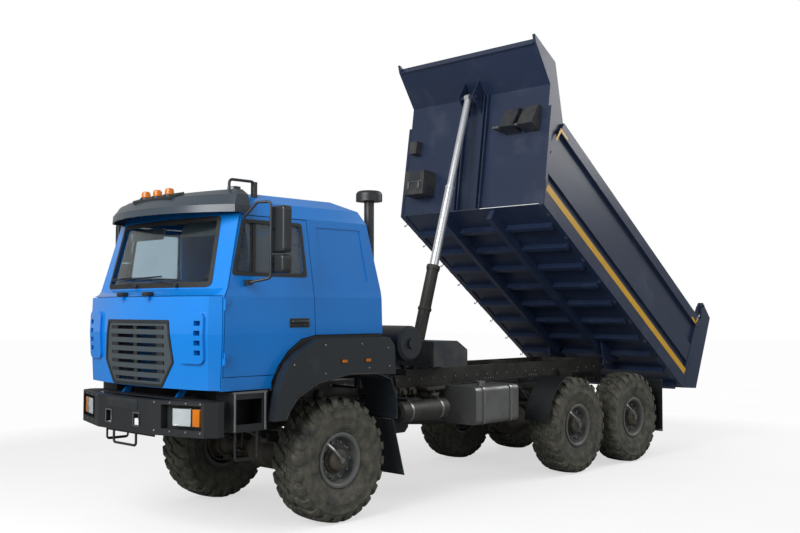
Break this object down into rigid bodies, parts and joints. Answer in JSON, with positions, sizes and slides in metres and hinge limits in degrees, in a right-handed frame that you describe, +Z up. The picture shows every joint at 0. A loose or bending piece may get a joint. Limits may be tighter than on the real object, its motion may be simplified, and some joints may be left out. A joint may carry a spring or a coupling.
{
  "type": "dump truck",
  "caption": "All-wheel-drive three-axle dump truck with a tilting forward-control cab and a rear-hinged steel load bed raised by a telescopic front hoist.",
  "frame": {"origin": "on the ground under the middle of the bounding box, with the truck standing on its tyres and the bed raised", "axes": "+X to the front of the truck, +Y to its left, +Z up"},
  "size_m": [9.6618, 2.98, 5.6468],
  "materials": {
    "chassis_black": "satin",
    "engine_grey": "rough",
    "tyre_rubber": "dusty matte",
    "rim_grey": "satin",
    "bed_navy": "satin",
    "bed_dark": "satin",
    "hoist_paint": "satin",
    "hoist_steel": "polished",
    "cab_blue": "gloss",
    "trim_black": "matte",
    "visor_slate": "satin",
    "glass": "clear",
    "seat_fabric": "woven",
    "lamp_lens": "clear lens",
    "tank_alloy": "brushed",
    "tank_paint": "satin"
  },
  "bodies": {
    "chassis": {"frame_rails": "chassis_black", "tipper_subframe": "chassis_black", "engine": "engine_grey", "driveline": "chassis_black", "front_axle": "chassis_black", "rear_axles": "chassis_black", "leaf_springs": "chassis_black", "bumper": "trim_black", "lamps": "lamp_lens", "step_boxes": "trim_black", "front_fenders": "trim_black", "rear_fenders": "trim_black", "fuel_tanks": "tank_alloy", "air_tanks": "chassis_black", "silencer": "tank_alloy", "air_filter": "trim_black", "hydraulic_tank": "tank_paint"},
    "knuckle_left": {"knuckle_left": "chassis_black"},
    "knuckle_right": {"knuckle_right": "chassis_black"},
    "tie_rod": {"tie_rod": "chassis_black"},
    "wheel_front_left": {"tyre_front_left": "tyre_rubber", "rim_front_left": "rim_grey"},
    "wheel_front_right": {"tyre_front_right": "tyre_rubber", "rim_front_right": "rim_grey"},
    "wheel_mid_left": {"tyre_mid_left": "tyre_rubber", "rim_mid_left": "rim_grey"},
    "wheel_mid_right": {"tyre_mid_right": "tyre_rubber", "rim_mid_right": "rim_grey"},
    "wheel_rear_left": {"tyre_rear_left": "tyre_rubber", "rim_rear_left": "rim_grey"},
    "wheel_rear_right": {"tyre_rear_right": "tyre_rubber", "rim_rear_right": "rim_grey"},
    "cab": {"cab_shell": "cab_blue", "windshield": "glass", "sun_visor": "visor_slate", "roof_lamps": "lamp_lens", "roof_rail": "chassis_black", "dashboard": "trim_black", "seats": "seat_fabric", "steering_wheel": "trim_black", "snorkel": "chassis_black"},
    "front_lid": {"front_hatch": "cab_blue", "grille": "trim_black"},
    "door_left": {"door_left": "cab_blue", "door_glass_left": "glass", "mirror_left": "trim_black"},
    "door_right": {"door_right": "cab_blue", "door_glass_right": "glass", "mirror_right": "trim_black"},
    "bed": {"bed_floor": "bed_navy", "bed_sides": "bed_navy", "bed_front_wall": "bed_navy", "bed_fittings": "bed_dark"},
    "tailgate": {"tailgate": "bed_navy"},
    "hoist_tube": {"cylinder_tube": "hoist_paint"},
    "hoist_stage_1": {"cylinder_stage_1": "hoist_steel"},
    "hoist_stage_2": {"cylinder_stage_2": "hoist_steel"}
  },
  "joints": [
    {"name": "steer_left", "type": "hinge", "parent": "chassis", "child": "knuckle_left", "pos_m": [3.03094, 0.76, 0.63], "axis": [0, 0, 1], "range_deg": [-28, 28]},
    {"name": "steer_right", "type": "hinge", "parent": "chassis", "child": "knuckle_right", "pos_m": [3.03094, -0.76, 0.63], "axis": [0, 0, 1], "range_deg": [-28, 28]},
    {"name": "tie_rod_slide", "type": "slide", "parent": "chassis", "child": "tie_rod", "axis": [0, 1, 0], "range_m": [-0.116, 0.116]},
    {"name": "front_wheel_left", "type": "hinge", "parent": "knuckle_left", "child": "wheel_front_left", "pos_m": [3.03094, 0.975, 0.63], "axis": [0, 1, 0], "continuous": true},
    {"name": "front_wheel_right", "type": "hinge", "parent": "knuckle_right", "child": "wheel_front_right", "pos_m": [3.03094, -0.975, 0.63], "axis": [0, 1, 0], "continuous": true},
    {"name": "mid_wheel_left", "type": "hinge", "parent": "chassis", "child": "wheel_mid_left", "pos_m": [-1.23906, 0.975, 0.63], "axis": [0, 1, 0], "continuous": true},
    {"name": "mid_wheel_right", "type": "hinge", "parent": "chassis", "child": "wheel_mid_right", "pos_m": [-1.23906, -0.975, 0.63], "axis": [0, 1, 0], "continuous": true},
    {"name": "rear_wheel_left", "type": "hinge", "parent": "chassis", "child": "wheel_rear_left", "pos_m": [-2.64906, 0.975, 0.63], "axis": [0, 1, 0], "continuous": true},
    {"name": "rear_wheel_right", "type": "hinge", "parent": "chassis", "child": "wheel_rear_right", "pos_m": [-2.64906, -0.975, 0.63], "axis": [0, 1, 0], "continuous": true},
    {"name": "cab_tilt", "type": "hinge", "parent": "chassis", "child": "cab", "pos_m": [4.65094, 0, 1.12], "axis": [0, 1, 0], "range_deg": [0, 45]},
    {"name": "front_lid_hinge", "type": "hinge", "parent": "cab", "child": "front_lid", "pos_m": [4.72794, 0, 2.294], "axis": [0, -1, 0], "range_deg": [0, 60]},
    {"name": "door_hinge_left", "type": "hinge", "parent": "cab", "child": "door_left", "pos_m": [4.47594, 1.144, 1.9], "axis": [0, 0, -1], "range_deg": [0, 70]},
    {"name": "door_hinge_right", "type": "hinge", "parent": "cab", "child": "door_right", "pos_m": [4.47594, -1.144, 1.9], "axis": [0, 0, 1], "range_deg": [0, 70]},
    {"name": "bed_tip", "type": "hinge", "parent": "chassis", "child": "bed", "pos_m": [-2.96906, 0, 1.37], "axis": [0, -1, 0], "range_deg": [-35, 10]},
    {"name": "tailgate_hinge", "type": "hinge", "parent": "bed", "child": "tailgate", "pos_m": [-4.60027, 0, 2.21768], "axis": [0, 1, 0], "range_deg": [0, 55]},
    {"name": "hoist_swing", "type": "hinge", "parent": "chassis", "child": "hoist_tube", "pos_m": [0.88094, 0, 1], "axis": [0, -1, 0], "range_deg": [-26, 7.5]},
    {"name": "hoist_stage_1_slide", "type": "slide", "parent": "hoist_tube", "child": "hoist_stage_1", "axis": [-0.2941, 0, 0.9558], "range_m": [-1.072, 0.308]},
    {"name": "hoist_stage_2_slide", "type": "slide", "parent": "hoist_stage_1", "child": "hoist_stage_2", "axis": [-0.2941, 0, 0.9558], "range_m": [-1.237, 0.355]}
  ],
  "couplings": [
    {"joint": "steer_right", "follows": "steer_left", "ratio": 1},
    {"joint": "tie_rod_slide", "follows": "steer_left", "m_per_rad": -0.235},
    {"joint": "hoist_swing", "follows": "bed_tip", "ratio": 0.74},
    {"joint": "hoist_stage_1_slide", "follows": "bed_tip", "m_per_rad": 1.7516},
    {"joint": "hoist_stage_2_slide", "follows": "bed_tip", "m_per_rad": 2.0217}
  ]
}
